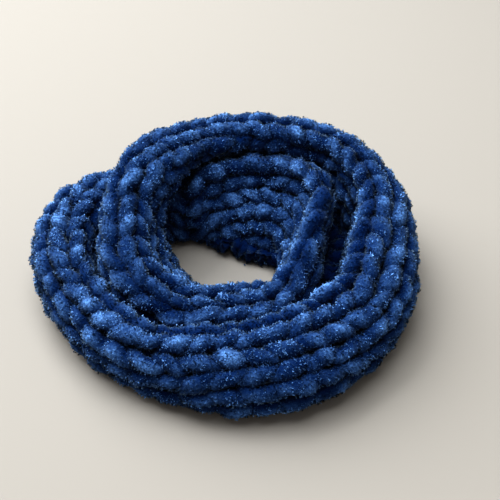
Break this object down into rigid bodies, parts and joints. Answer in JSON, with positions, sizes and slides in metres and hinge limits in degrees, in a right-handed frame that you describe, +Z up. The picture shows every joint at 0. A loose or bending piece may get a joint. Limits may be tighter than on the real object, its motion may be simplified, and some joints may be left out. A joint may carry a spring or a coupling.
{
  "type": "neck warmer",
  "caption": "Chunky knitted neck warmer: a closed band of thick fluffy chenille yarn, wound over itself and laid down as a ring with an open neck hole.",
  "frame": {"origin": "the middle of the overall box, at the surface that the ring rests on", "axes": "+Z up from that surface; +Y towards the high back arc, where the band crosses over itself at the left; +X to the right of someone looking towards +Y"},
  "size_m": [0.2976, 0.261, 0.095],
  "materials": {
    "chenille_knit": "matte, deep blue, fluffy"
  },
  "bodies": {
    "root": {"outer_back": "chenille_knit", "outer_right": "chenille_knit", "outer_front": "chenille_knit", "outer_left": "chenille_knit", "inner_back": "chenille_knit", "inner_right": "chenille_knit", "inner_front": "chenille_knit", "inner_left": "chenille_knit"}
  },
  "joints": []
}
